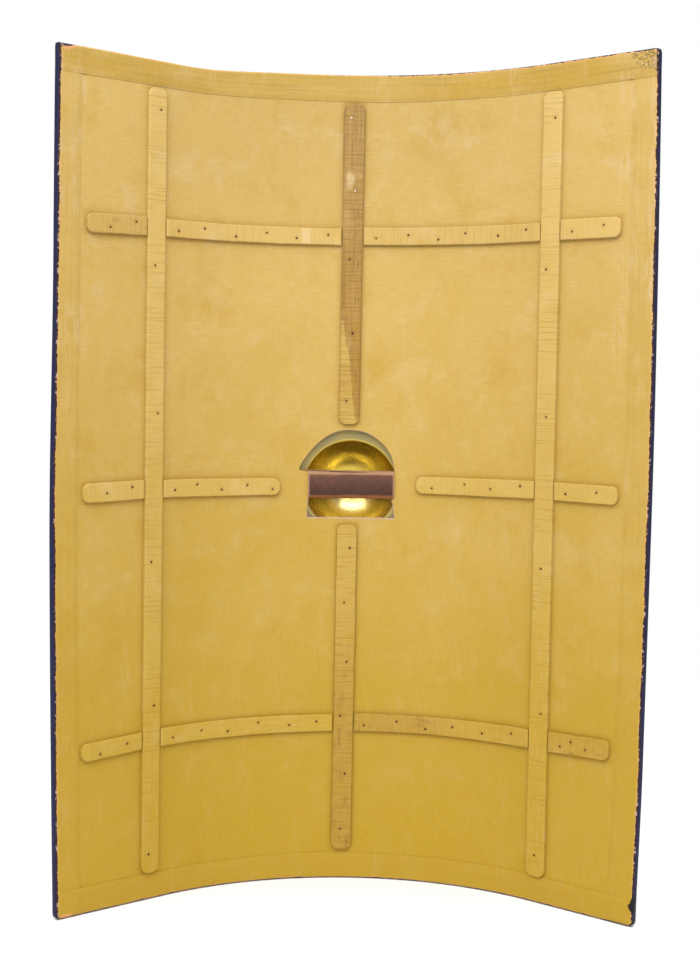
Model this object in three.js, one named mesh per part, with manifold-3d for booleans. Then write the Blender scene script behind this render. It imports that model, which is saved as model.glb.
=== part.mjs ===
// A Roman scutum: a tall curved board, held by a leather-wrapped grip inside a brass boss.
//
// Millimetres, +Z up. The shield stands on its lower rim with its hollow side towards -Y and
// the boss towards +Y. The origin is under the middle of the whole shield.
//
// A place on the shield is given by three numbers:
//   station  distance along the curved inner face, 0 on the centre line, + to the right (+X)
//   depth    distance from the inner face of the board, + towards the boss
//   level    height above the lower rim
import * as THREE from 'three';
import { mergeVertices } from 'three/addons/utils/BufferGeometryUtils.js';
import Module from 'manifold-3d';

// ---------------------------------------------------------------- driving dimensions

const HEIGHT = 1040;
const CURVE_RADIUS = 354; // inner face of the rounded middle
const FLANK_ANGLE = THREE.MathUtils.degToRad(40.8); // the straight flanks leave the curve here
const HALF_GIRTH = 404; // from the centre line to the board's side edge, along the inner face
const SIDE_BOW = 4; // the side edges bulge this far at half height
const BOARD_THICKNESS = 7;
const GAP = 0.3; // between pieces that touch
const STRIP_END_GAP = 0.4; // between the grip strip and the sides of its hole

const CLOTH_THICKNESS = 0.8;
const HEM_WIDTH = 32;
const MITRE_GAP = 0.25;

const BATTEN_THICKNESS = 4.5;
const BATTEN_END_RADIUS = 9;
const BUTT_GAP = 1.5; // between a level batten's end and the upright beside it

const UPRIGHTS = {
  batten_left: { bottom: 34, top: 1003, foot: -274, head: -266, width: 25 },
  batten_right: { bottom: 34, top: 1005, foot: 264, head: 266, width: 27 },
  batten_centre_lower: { bottom: 39, top: 467, foot: -7, head: -4, width: 26 },
  batten_centre_upper: { bottom: 597, top: 1004, foot: -3, head: -1, width: 26 },
};

// Each row has four pieces. outerEnd is where the outer pieces stop, innerEnd where the inner
// pieces stop short of the hand openings. start and end are the levels of a piece's two ends.
const ROWS = {
  top: {
    centre: 'batten_centre_upper',
    left_outer: { outerEnd: -366, start: 834, end: 836, width: 23 },
    left_inner: { start: 836, end: 836, width: 21 },
    right_inner: { start: 837, end: 837, width: 22 },
    right_outer: { outerEnd: 365, start: 838, end: 837, width: 24 },
  },
  middle: {
    left_outer: { outerEnd: -371, start: 513, end: 516, width: 23 },
    left_inner: { innerEnd: -93, start: 516, end: 516, width: 22 },
    right_inner: { innerEnd: 86, start: 520, end: 520, width: 22 },
    right_outer: { outerEnd: 370, start: 520, end: 519, width: 22 },
  },
  bottom: {
    centre: 'batten_centre_lower',
    left_outer: { outerEnd: -373, start: 198, end: 203, width: 21 },
    left_inner: { start: 204, end: 207, width: 22 },
    right_inner: { start: 208, end: 207, width: 23 },
    right_outer: { outerEnd: 367, start: 208, end: 210, width: 25 },
  },
};

// The upper opening is a half round, the lower one a flared slot. The strip of the board left
// between them is the core of the grip, and it is parted from the board at its two ends.
const OPENING = {
  centre: -2,
  radius: 56,
  flare: 6, // the half round runs out by this much at its lower left corner
  stripTop: 534.5,
  stripBottom: 505.5,
  slotBottom: 476,
  slotTopLeft: -54,
  slotTopRight: 52,
  slotBottomLeft: -56,
  slotBottomRight: 57,
};

const GRIP = {
  left: -57,
  right: 58,
  bottom: 502.5,
  top: 537.5,
  inner: -6,
  outer: 12,
  edgeRadius: 6,
  endGap: 2, // between the part of the wrap inside the openings and their sides
};

const BOSS = {
  level: 516,
  mouthRadius: 59,
  domeHeight: 55,
  sheet: 1.2,
  plateWidth: 210,
  plateHeight: 190,
};

const NAIL = {
  inset: 12, // from the edges of the boss plate
  shankRadius: 1.6,
  holeRadius: 2,
  shankInBoard: 5,
  headRadius: 7,
  headHeight: 4,
};

// Facets
const CURVE_STEPS = 27;
const HEIGHT_STEPS = 8;
const LEVEL_BATTEN_STEP = 19;
const UPRIGHT_STEP = 130;
const ROUND_END_STEPS = 3;
const OPENING_STEPS = 20;
const DOME_STEPS_ROUND = 30;
const DOME_STEPS_UP = 7;
const PLATE_STEPS = 12;
const WRAP_STEPS = 6;
const WRAP_EDGE_STEPS = 4;
const WRAP_CORE_STEPS = 8;
const NAIL_STEPS = 10;
const NAIL_HEAD_STEPS = 3;
const SAME_POINT = 1e-4; // corners closer than this are one

// ---------------------------------------------------------------- values that follow

const COVER = GAP + CLOTH_THICKNESS; // how far the cloth stands off the board
const THROUGH = 4 * BOARD_THICKNESS; // what a cutter reaches past the board on either side
const CURVE_END = CURVE_RADIUS * FLANK_ANGLE;
const PLATE_DEPTH = BOARD_THICKNESS + GAP;
const PLATE_FRONT = PLATE_DEPTH + BOSS.sheet;

// The rim is the furthest point towards -Y and the top of the dome the furthest towards +Y.
const RIM_DEPTH = (() => {
  const flank = HALF_GIRTH + SIDE_BOW + COVER - CURVE_END;
  const curveEnd = (CURVE_RADIUS - COVER) * Math.cos(FLANK_ANGLE) - CURVE_RADIUS;
  return curveEnd - flank * Math.sin(FLANK_ANGLE);
})();
const DOME_TOP = PLATE_DEPTH + BOSS.domeHeight + BOSS.sheet;
const ORIGIN_SHIFT = -(RIM_DEPTH + DOME_TOP) / 2;

// ---------------------------------------------------------------- places on the shield

/** How far the board has turned at a station, in radians. */
function bendAt(station) {
  return THREE.MathUtils.clamp(station / CURVE_RADIUS, -FLANK_ANGLE, FLANK_ANGLE);
}

/** The point at a station, depth and level. */
function pointAt(station, depth, level) {
  const bend = bendAt(station);
  const flank = station - bend * CURVE_RADIUS;
  const radius = CURVE_RADIUS + depth;
  return new THREE.Vector3(
    radius * Math.sin(bend) + flank * Math.cos(bend),
    radius * Math.cos(bend) - CURVE_RADIUS - flank * Math.sin(bend) + ORIGIN_SHIFT,
    level,
  );
}

/** The station of the board's side edge at a level: the sides bow outwards. */
function edgeAt(level) {
  const offset = (2 * level) / HEIGHT - 1;
  return HALF_GIRTH + SIDE_BOW * (1 - offset * offset);
}

/** steps + 1 even values from first to last. */
function evenly(first, last, steps) {
  return Array.from({ length: steps + 1 }, (_, i) => first + ((last - first) * i) / steps);
}

/** Moves every vertex of a geometry to where place() puts it. */
function reshape(geometry, place) {
  const position = geometry.attributes.position;
  for (let i = 0; i < position.count; i += 1) {
    const moved = place(position.getX(i), position.getY(i), position.getZ(i));
    position.setXYZ(i, moved.x, moved.y, moved.z);
  }
  return geometry;
}

// ---------------------------------------------------------------- bent solids

/** A block between two depths, over the stations that stationsAt(level) gives. */
function bentBlock(stationsAt, levels, inner, outer) {
  const across = stationsAt(levels[0]).length - 1;
  const up = levels.length - 1;
  const box = new THREE.BoxGeometry(1, 1, 1, across, 1, up);
  return reshape(box, (x, y, z) => {
    const level = levels[Math.round((z + 0.5) * up)];
    const station = stationsAt(level)[Math.round((x + 0.5) * across)];
    return pointAt(station, y > 0 ? outer : inner, level);
  });
}

/** Stations over the whole width, reaching a margin past the board's side edges. */
function fullWidth(margin) {
  const curve = evenly(-CURVE_END, CURVE_END, CURVE_STEPS);
  return (level) => [-edgeAt(level) - margin, ...curve, edgeAt(level) + margin];
}

/** A prism through the board, straight along Y, from an outline of stations and levels. */
function cutter(shape) {
  const settings = { depth: 2 * THROUGH, bevelEnabled: false, curveSegments: OPENING_STEPS };
  const geometry = new THREE.ExtrudeGeometry(shape, settings);
  return reshape(geometry, (x, y, z) => new THREE.Vector3(x, THROUGH - z + ORIGIN_SHIFT, y));
}

// ---------------------------------------------------------------- joining and cutting

const wasm = await Module();
wasm.setup();

function toSolid(geometry) {
  const bare = geometry.clone();
  bare.deleteAttribute('normal');
  bare.deleteAttribute('uv');
  const merged = mergeVertices(bare, SAME_POINT);
  const mesh = new wasm.Mesh({
    numProp: 3,
    vertProperties: new Float32Array(merged.attributes.position.array),
    triVerts: new Uint32Array(merged.index.array),
  });
  return new wasm.Manifold(mesh);
}

function toGeometry(solid) {
  const mesh = solid.getMesh();
  const corners = new Float32Array(mesh.vertProperties);
  const geometry = new THREE.BufferGeometry();
  geometry.setAttribute('position', new THREE.BufferAttribute(corners, 3));
  geometry.setIndex(new THREE.BufferAttribute(new Uint32Array(mesh.triVerts), 1));
  geometry.computeVertexNormals();
  return geometry;
}

function subtract(geometry, ...cutters) {
  const cut = cutters.reduce((solid, tool) => solid.subtract(toSolid(tool)), toSolid(geometry));
  return toGeometry(cut);
}

// ---------------------------------------------------------------- materials

function finish(color, roughness, metalness = 0) {
  return () => new THREE.MeshStandardMaterial({ color, roughness, metalness });
}

const ochrePaint = finish(0xcda550, 0.75);
const battenPaint = finish(0xd6b061, 0.7);
const bareWood = finish(0x8a6838, 0.85);
const navyCloth = finish(0x24263f, 0.8);
const gripLeather = finish(0x6a463c, 0.6);
const brass = finish(0xb08a3c, 0.35, 1);

const shield = new THREE.Group();

function add(name, geometry, makeMaterial) {
  const mesh = new THREE.Mesh(geometry, makeMaterial());
  mesh.name = name;
  shield.add(mesh);
  return mesh;
}

// ---------------------------------------------------------------- boss nails

const NAIL_PLACES = [
  [-1, -1],
  [1, -1],
  [1, 1],
  [-1, 1],
].map(([side, end]) => ({
  station: side * (BOSS.plateWidth / 2 - NAIL.inset),
  level: BOSS.level + end * (BOSS.plateHeight / 2 - NAIL.inset),
}));

/** A round solid standing square to the board: its profile is radius against depth. */
function turned(profile, segments) {
  const outline = profile.map(([radius, depth]) => new THREE.Vector2(radius, depth));
  return new THREE.LatheGeometry(outline, segments);
}

/** The nail's hole through the plate and into the board. */
function nailHole({ station, level }) {
  const foot = BOARD_THICKNESS - NAIL.shankInBoard - GAP;
  const top = 2 * PLATE_FRONT;
  const profile = [[0, foot], [NAIL.holeRadius, foot], [NAIL.holeRadius, top], [0, top]];
  const bend = bendAt(station);
  const base = pointAt(station, 0, level);
  const hole = turned(profile, NAIL_STEPS);
  return hole.rotateZ(-bend).translate(base.x, base.y, base.z);
}

/** A shank with a domed head, its depth measured from the board's inner face. */
function nail() {
  const foot = BOARD_THICKNESS - NAIL.shankInBoard;
  const seat = PLATE_FRONT + GAP;
  const { shankRadius, headRadius, headHeight } = NAIL;
  const profile = [[0, foot], [shankRadius, foot], [shankRadius, seat], [headRadius, seat]];
  for (let i = 1; i < NAIL_HEAD_STEPS; i += 1) {
    const angle = (Math.PI / 2) * (i / NAIL_HEAD_STEPS);
    profile.push([headRadius * Math.cos(angle), seat + headHeight * Math.sin(angle)]);
  }
  profile.push([0, seat + headHeight]);
  return turned(profile, NAIL_STEPS);
}

NAIL_PLACES.forEach((place, i) => {
  const mesh = add(`boss_nail_${i + 1}`, nail(), brass);
  mesh.position.copy(pointAt(place.station, 0, place.level));
  mesh.rotation.z = -bendAt(place.station);
});

// ---------------------------------------------------------------- board

/** The one hole that the grip strip crosses: a half round above, a flared slot below. */
function handOpening() {
  const { centre, radius, flare, stripTop, stripBottom, slotBottom } = OPENING;
  const shape = new THREE.Shape();
  shape.moveTo(OPENING.slotBottomRight, slotBottom);
  shape.lineTo(OPENING.slotTopRight, stripBottom);
  shape.lineTo(centre + radius, stripTop);
  shape.absarc(centre, stripTop, radius, 0, Math.PI - flare / radius, false);
  shape.lineTo(centre - radius - flare, stripTop);
  shape.lineTo(OPENING.slotTopLeft, stripBottom);
  shape.lineTo(OPENING.slotBottomLeft, slotBottom);
  return cutter(shape);
}

/** The strip that crosses the hole, just clear of the hole's sides. */
function gripStrip() {
  const { centre, radius, flare, stripTop, stripBottom } = OPENING;
  const shape = new THREE.Shape();
  shape.moveTo(OPENING.slotTopLeft + STRIP_END_GAP, stripBottom);
  shape.lineTo(OPENING.slotTopRight - STRIP_END_GAP, stripBottom);
  shape.lineTo(centre + radius - STRIP_END_GAP, stripTop);
  shape.lineTo(centre - radius - flare + STRIP_END_GAP, stripTop);
  return cutter(shape);
}

const boardLevels = evenly(COVER, HEIGHT - COVER, HEIGHT_STEPS);
const boardBlank = bentBlock(fullWidth(0), boardLevels, 0, BOARD_THICKNESS);
add('board', subtract(boardBlank, handOpening(), ...NAIL_PLACES.map(nailHole)), ochrePaint);
add('grip_core', toGeometry(toSolid(boardBlank).intersect(toSolid(gripStrip()))), ochrePaint);

// ---------------------------------------------------------------- cloth binding

/** The board's own space and the gap around it, which the binding is folded over. */
function bindingChannel() {
  const levels = evenly(CLOTH_THICKNESS, HEIGHT - CLOTH_THICKNESS, HEIGHT_STEPS);
  return bentBlock(fullWidth(GAP), levels, -GAP, BOARD_THICKNESS + GAP);
}

/** A wedge beyond the diagonal of a corner, on the side that the strip there doesn't cover. */
function mitreWedge(side, atTop, keepsUpright) {
  const corner = HALF_GIRTH + COVER;
  const reach = 2 * HEM_WIDTH;
  const out = keepsUpright ? -MITRE_GAP : MITRE_GAP;
  const beyond = keepsUpright ? [reach, -reach] : [-reach, reach];
  // Measured from the corner: x runs in from the side edge, y in from the upper or lower rim.
  const outline = [
    [out - reach, -reach],
    [out + reach, reach],
    [out + reach + beyond[0], reach + beyond[1]],
    [out - reach + beyond[0], -reach + beyond[1]],
  ];
  const shape = new THREE.Shape(outline.map(([x, y]) => new THREE.Vector2(x, y)));
  const geometry = new THREE.ExtrudeGeometry(shape, { depth: 1, bevelEnabled: false });
  // Mirrored to one side or one end only, the wedge is turned over too, to keep its faces outward.
  const mirroredOnce = side > 0 !== atTop;
  return reshape(geometry, (x, y, z) => {
    const share = mirroredOnce ? z : 1 - z;
    const level = atTop ? HEIGHT - y : y;
    return pointAt(side * (corner - x), (2 * share - 1) * THROUGH, level);
  });
}

/** The strip folded over the upper or lower rim, mitred at both ends. */
function rimStrip(atTop) {
  const levels = atTop ? [HEIGHT - HEM_WIDTH, HEIGHT] : [0, HEM_WIDTH];
  const blank = bentBlock(fullWidth(COVER), levels, -COVER, BOARD_THICKNESS + COVER);
  const mitres = [mitreWedge(-1, atTop, false), mitreWedge(1, atTop, false)];
  return subtract(blank, bindingChannel(), ...mitres);
}

/** The strip folded over one side edge, mitred at both ends. */
function sideStrip(side) {
  const stationsAt = (level) => {
    const edge = edgeAt(level);
    return side > 0 ? [edge - HEM_WIDTH, edge + COVER] : [-edge - COVER, -edge + HEM_WIDTH];
  };
  const levels = evenly(0, HEIGHT, HEIGHT_STEPS);
  const blank = bentBlock(stationsAt, levels, -COVER, BOARD_THICKNESS + COVER);
  const mitres = [mitreWedge(side, true, true), mitreWedge(side, false, true)];
  return subtract(blank, bindingChannel(), ...mitres);
}

add('binding_top', rimStrip(true), navyCloth);
add('binding_bottom', rimStrip(false), navyCloth);
add('binding_left', sideStrip(-1), navyCloth);
add('binding_right', sideStrip(1), navyCloth);

// ---------------------------------------------------------------- battens

/** Places along a batten and its half width there: a round end draws in to a short flat tip. */
function battenOutline(first, last, width, maxStep, roundFirst, roundLast) {
  const radius = BATTEN_END_RADIUS;
  const round = evenly(0, Math.PI / 2, ROUND_END_STEPS).map((angle) => ({
    inset: radius * (1 - Math.sin(angle)),
    draw: radius * (1 - Math.cos(angle)),
  }));
  // The inset is largest at the tip, where the half width has drawn in the most.
  const tip = round.map(({ inset, draw }) => ({ run: draw, half: width / 2 - inset }));
  const square = [{ run: 0, half: width / 2 }];
  const start = (roundFirst ? tip : square).map(({ run, half }) => ({ along: first + run, half }));
  const end = (roundLast ? tip : square).map(({ run, half }) => ({ along: last - run, half }));
  end.reverse();
  const from = start[start.length - 1].along;
  const to = end[0].along;
  const steps = Math.ceil((to - from) / maxStep);
  const between = evenly(from, to, steps).slice(1, -1);
  const middle = between.map((along) => ({ along, half: width / 2 }));
  return [...start, ...middle, ...end];
}

/** A flat strip of wood bent to the board, running from one level to another. */
function levelBatten({ first, last, start, end, width, roundFirst, roundLast }) {
  const outline = battenOutline(first, last, width, LEVEL_BATTEN_STEP, roundFirst, roundLast);
  const steps = outline.length - 1;
  const box = new THREE.BoxGeometry(1, 1, 1, steps, 1, 1);
  return reshape(box, (x, y, z) => {
    const { along, half } = outline[Math.round((x + 0.5) * steps)];
    const middle = THREE.MathUtils.mapLinear(along, first, last, start, end);
    return pointAt(along, y > 0 ? -GAP : -GAP - BATTEN_THICKNESS, middle + Math.sign(z) * half);
  });
}

/** A straight strip of wood standing on the board, leaning a little from foot to head. */
function uprightBatten({ bottom, top, foot, head, width }) {
  const outline = battenOutline(bottom, top, width, UPRIGHT_STEP, true, true);
  const steps = outline.length - 1;
  const box = new THREE.BoxGeometry(1, 1, 1, 1, 1, steps);
  return reshape(box, (x, y, z) => {
    const { along, half } = outline[Math.round((z + 0.5) * steps)];
    const middle = THREE.MathUtils.mapLinear(along, bottom, top, foot, head);
    return pointAt(middle + Math.sign(x) * half, y > 0 ? -GAP : -GAP - BATTEN_THICKNESS, along);
  });
}

/** Where a level batten stops beside an upright: side is -1 to its left and 1 to its right. */
function beside(uprightName, level, side) {
  const { bottom, top, foot, head, width } = UPRIGHTS[uprightName];
  const middle = THREE.MathUtils.mapLinear(level, bottom, top, foot, head);
  return middle + side * (width / 2 + BUTT_GAP);
}

Object.entries(UPRIGHTS).forEach(([name, upright]) => {
  add(name, uprightBatten(upright), name === 'batten_centre_upper' ? bareWood : battenPaint);
});

Object.entries(ROWS).forEach(([rowName, row]) => {
  const pieces = {
    left_outer: {
      first: row.left_outer.outerEnd,
      last: beside('batten_left', row.left_outer.end, -1),
      roundFirst: true,
    },
    left_inner: {
      first: beside('batten_left', row.left_inner.start, 1),
      last: row.left_inner.innerEnd ?? beside(row.centre, row.left_inner.end, -1),
      roundLast: 'innerEnd' in row.left_inner,
    },
    right_inner: {
      first: row.right_inner.innerEnd ?? beside(row.centre, row.right_inner.start, 1),
      last: beside('batten_right', row.right_inner.end, -1),
      roundFirst: 'innerEnd' in row.right_inner,
    },
    right_outer: {
      first: beside('batten_right', row.right_outer.start, 1),
      last: row.right_outer.outerEnd,
      roundLast: true,
    },
  };
  Object.entries(pieces).forEach(([pieceName, ends]) => {
    const batten = levelBatten({ ...row[pieceName], ...ends });
    add(`batten_${rowName}_${pieceName}`, batten, battenPaint);
  });
});

// ---------------------------------------------------------------- grip

/** A rectangle with rounded corners, or square ones where radius is 0. */
function roundedRectangle(left, right, bottom, top, radius) {
  const shape = new THREE.Shape();
  shape.moveTo(left + radius, bottom);
  shape.lineTo(right - radius, bottom);
  shape.absarc(right - radius, bottom + radius, radius, -Math.PI / 2, 0, false);
  shape.lineTo(right, top - radius);
  shape.absarc(right - radius, top - radius, radius, 0, Math.PI / 2, false);
  shape.lineTo(left + radius, top);
  shape.absarc(left + radius, top - radius, radius, Math.PI / 2, Math.PI, false);
  shape.lineTo(left, bottom + radius);
  shape.absarc(left + radius, bottom + radius, radius, Math.PI, Math.PI * 1.5, false);
  return shape;
}

/** A bar along the stations, bent with the board, from its section of depths and levels. */
function bentBar(section, left, right) {
  const geometry = new THREE.ExtrudeGeometry(section, {
    depth: right - left,
    steps: WRAP_STEPS,
    bevelEnabled: false,
    curveSegments: WRAP_EDGE_STEPS,
  });
  return reshape(geometry, (x, y, z) => pointAt(left + z, x, y));
}

/** Leather round the strip; at both ends its inner side laps a little over the board. */
function leatherWrap() {
  const { left, right, bottom, top, inner, outer, edgeRadius } = GRIP;
  const bar = bentBar(roundedRectangle(inner, outer, bottom, top, edgeRadius), left, right);
  const past = 2 * edgeRadius;
  const core = bentBlock(
    () => evenly(left - past, right + past, WRAP_CORE_STEPS),
    [OPENING.stripBottom - GAP, OPENING.stripTop + GAP],
    -GAP,
    BOARD_THICKNESS + GAP,
  );
  // Beyond the openings only the inner side of the wrap is left, lying on the board.
  const openingStart = OPENING.slotTopLeft + GRIP.endGap;
  const openingEnd = OPENING.slotTopRight - GRIP.endGap;
  const levels = [bottom - GAP, top + GAP];
  const boardLeft = bentBlock(() => [2 * left, openingStart], levels, -GAP, 2 * outer);
  const boardRight = bentBlock(() => [openingEnd, 2 * right], levels, -GAP, 2 * outer);
  return subtract(bar, core, boardRight, boardLeft);
}

add('grip_leather', leatherWrap(), gripLeather);

// ---------------------------------------------------------------- boss

/** A round dome standing on a short straight neck that starts below the plate. */
function domeSolid(radius, height, neck) {
  const profile = [[0, -neck], [radius, -neck]];
  for (let i = 0; i < DOME_STEPS_UP; i += 1) {
    const angle = (Math.PI / 2) * (i / DOME_STEPS_UP);
    profile.push([radius * Math.cos(angle), height * Math.sin(angle)]);
  }
  profile.push([0, height]);
  const centre = pointAt(0, PLATE_DEPTH, BOSS.level);
  return turned(profile, DOME_STEPS_ROUND).translate(centre.x, centre.y, centre.z);
}

/** The plate and the dome as one sheet. Each cutter reaches further down than what it cuts. */
function bossBody() {
  const halfWidth = BOSS.plateWidth / 2;
  const halfHeight = BOSS.plateHeight / 2;
  const levels = [BOSS.level - halfHeight, BOSS.level + halfHeight];
  const stationsAt = () => evenly(-halfWidth, halfWidth, PLATE_STEPS);
  const plate = bentBlock(stationsAt, levels, PLATE_DEPTH, PLATE_FRONT);
  const { mouthRadius, domeHeight, sheet } = BOSS;
  const outside = domeSolid(mouthRadius + sheet, domeHeight + sheet, THROUGH);
  const inside = domeSolid(mouthRadius, domeHeight, 2 * THROUGH);
  const past = [levels[0] - THROUGH, levels[1] + THROUGH];
  const below = bentBlock(stationsAt, past, -3 * THROUGH, PLATE_DEPTH);
  const joined = toGeometry(toSolid(plate).add(toSolid(outside)));
  return subtract(joined, inside, below, ...NAIL_PLACES.map(nailHole));
}

add('boss', bossBody(), brass);

export default shield;
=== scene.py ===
import math
import random

import bmesh
import bpy
from mathutils import Matrix, Vector, noise


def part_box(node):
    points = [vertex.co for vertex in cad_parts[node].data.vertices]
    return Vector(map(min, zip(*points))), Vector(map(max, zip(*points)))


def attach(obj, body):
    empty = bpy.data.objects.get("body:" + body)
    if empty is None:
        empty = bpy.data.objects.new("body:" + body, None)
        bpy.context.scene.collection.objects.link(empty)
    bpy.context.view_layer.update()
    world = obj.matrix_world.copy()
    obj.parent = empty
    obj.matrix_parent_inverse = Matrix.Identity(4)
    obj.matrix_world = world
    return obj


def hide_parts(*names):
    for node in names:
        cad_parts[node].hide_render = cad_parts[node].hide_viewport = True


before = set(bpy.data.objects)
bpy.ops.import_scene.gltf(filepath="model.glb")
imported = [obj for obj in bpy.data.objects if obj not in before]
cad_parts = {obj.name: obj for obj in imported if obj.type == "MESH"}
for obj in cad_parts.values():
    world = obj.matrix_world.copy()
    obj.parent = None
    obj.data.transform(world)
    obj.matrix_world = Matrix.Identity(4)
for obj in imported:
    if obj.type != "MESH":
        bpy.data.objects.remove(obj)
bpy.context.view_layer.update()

# A Roman scutum, standing on its lower rim with its hollow side towards -Y.
#
# Every piece is made flat and then bent to the shield. A flat place is three numbers:
#   station  along the curved inner face, 0 on the centre line, + to the right
#   depth    from the board's inner face, + towards the boss
#   level    above the lower rim
# Metres throughout.

# ---------------------------------------------------------------- the shield's measures

HEIGHT = 1.040
CURVE_RADIUS = 0.354
FLANK_ANGLE = math.radians(40.8)
HALF_GIRTH = 0.404
SIDE_BOW = 0.004
BOARD = 0.007
GAP = 0.0003
CLOTH = 0.0008
COVER = GAP + CLOTH
HEM = 0.032

BATTEN = 0.0045
BATTEN_END = 0.009
BUTT_GAP = 0.0015

GRIP_LEFT, GRIP_RIGHT = -0.0552, 0.0565
GRIP_BOTTOM, GRIP_TOP = 0.5008, 0.5375
GRIP_INNER, GRIP_OUTER = -0.006, 0.012
GRIP_EDGE = 0.006

BOSS_LEVEL = 0.516
MOUTH = 0.059
DOME = 0.055
SHEET = 0.0012
PLATE_DEPTH = BOARD + GAP
PLATE_FRONT = PLATE_DEPTH + SHEET
PLATE_WIDTH = 0.210
PLATE_HEIGHT = 0.190
BOSS_NAIL_INSET = 0.012

ORIGIN_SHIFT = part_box("boss")[1].y - (PLATE_DEPTH + DOME + SHEET)


def bend_at(station):
    """How far the board has turned at a station, in radians."""
    return max(-FLANK_ANGLE, min(FLANK_ANGLE, station / CURVE_RADIUS))


def point_at(station, depth, level):
    """The point at a flat place."""
    bend = bend_at(station)
    flank = station - bend * CURVE_RADIUS
    radius = CURVE_RADIUS + depth
    return Vector((
        radius * math.sin(bend) + flank * math.cos(bend),
        radius * math.cos(bend) - CURVE_RADIUS - flank * math.sin(bend) + ORIGIN_SHIFT,
        level,
    ))


def edge_at(level):
    """The station of the board's side edge: the sides bow outwards."""
    offset = 2 * level / HEIGHT - 1
    return HALF_GIRTH + SIDE_BOW * (1 - offset * offset)


def smooth(value, low, high):
    """0 below low, 1 above high, and an even turn between them."""
    share = max(0.0, min(1.0, (value - low) / (high - low)))
    return share * share * (3 - 2 * share)


def wander(seed, first, second=0.0):
    """A slow wander between about -1 and 1, the same for the same seed and place."""
    return noise.noise(Vector((first, second, seed * 7.31)))


def evenly(first, last, steps):
    return [first + (last - first) * i / steps for i in range(steps + 1)]


# ---------------------------------------------------------------- finishes


def colour(red, green, blue):
    """A paint chip's 0 to 255 values as light."""
    light = []
    for part in (red, green, blue):
        part /= 255
        light.append(part / 12.92 if part <= 0.04045 else ((part + 0.055) / 1.055) ** 2.4)
    return (*light, 1.0)


class Value:
    """A shader socket that can stand in a Python expression."""

    def __init__(self, finish, socket):
        self.finish = finish
        self.socket = socket

    def also(self, output):
        """Another output of the same node."""
        return Value(self.finish, self.socket.node.outputs[output])

    def math(self, operation, first, second=0.0):
        return self.finish.node("Math", {"operation": operation}, {0: first, 1: second})

    def absolute(self):
        return self.math("ABSOLUTE", self)

    def sine(self):
        return self.math("SINE", self)

    def __add__(self, other):
        return self.math("ADD", self, other)

    def __radd__(self, other):
        return self.math("ADD", other, self)

    def __sub__(self, other):
        return self.math("SUBTRACT", self, other)

    def __rsub__(self, other):
        return self.math("SUBTRACT", other, self)

    def __mul__(self, other):
        return self.math("MULTIPLY", self, other)

    def __rmul__(self, other):
        return self.math("MULTIPLY", other, self)


class Finish:
    """One finish, built up from its nodes."""

    def __init__(self, name, kind="materials"):
        self.made = getattr(bpy.data, kind).new(name)
        self.made.use_nodes = True
        self.made.node_tree.nodes.clear()

    def node(self, kind, settings, sockets, output=0):
        """A node with its settings, then the values or links of its sockets."""
        tree = self.made.node_tree
        made = tree.nodes.new("ShaderNode" + kind)
        for name, setting in settings.items():
            setattr(made, name, setting)
        for key, value in sockets.items():
            if isinstance(value, Value):
                tree.links.new(value.socket, made.inputs[key])
            else:
                made.inputs[key].default_value = value
        return Value(self, made.outputs[output]) if len(made.outputs) else None

    def kept(self, name):
        """The three numbers that the piece keeps at each of its points."""
        return self.node("Attribute", {"attribute_name": name}, {}, "Vector")

    def amount(self, name):
        """The one number that the piece keeps at each of its points."""
        return self.node("Attribute", {"attribute_name": name}, {}, "Fac")

    def parts(self, vector):
        first = self.node("SeparateXYZ", {}, {0: vector})
        return first, first.also(1), first.also(2)

    def stretched(self, vector, *scale):
        return self.node("VectorMath", {"operation": "MULTIPLY"}, {0: vector, 1: scale})

    def cloud(self, vector, scale, detail=2.0, roughness=0.5, distortion=0.0):
        """Soft random patches, mostly from 0.25 to 0.75."""
        return self.node("TexNoise", {}, {
            "Vector": vector, "Scale": scale, "Detail": detail,
            "Roughness": roughness, "Distortion": distortion,
        })

    def streaks(self, vector, *scale, detail=3.0):
        """Soft random patches, drawn out where a scale is small."""
        return self.cloud(self.stretched(vector, *scale), 1.0, detail)

    def ramp(self, value, low, high):
        """0 below low, 1 above high, with an even turn between."""
        settings = {"interpolation_type": "SMOOTHSTEP"}
        return self.node("MapRange", settings, {0: value, 1: low, 2: high, 3: 0.0, 4: 1.0})

    def wave(self, value, pitch):
        return (value * (2 * math.pi / pitch)).sine()

    def mix(self, share, first, second):
        """A colour, the share of the way from the first to the second."""
        return self.node("Mix", {"data_type": "RGBA"}, {0: share, 6: first, 7: second}, 2)

    def relief(self, height, distance, strength=1.0):
        """The normal over a surface that is raised by height times distance."""
        return self.node("Bump", {}, {"Height": height, "Distance": distance, "Strength": strength})

    def done(self, sockets):
        """The finished surface, from the values and links of its shader."""
        surface = self.node("BsdfPrincipled", {}, sockets)
        self.node("OutputMaterial", {}, {"Surface": surface})
        return self.made


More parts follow.
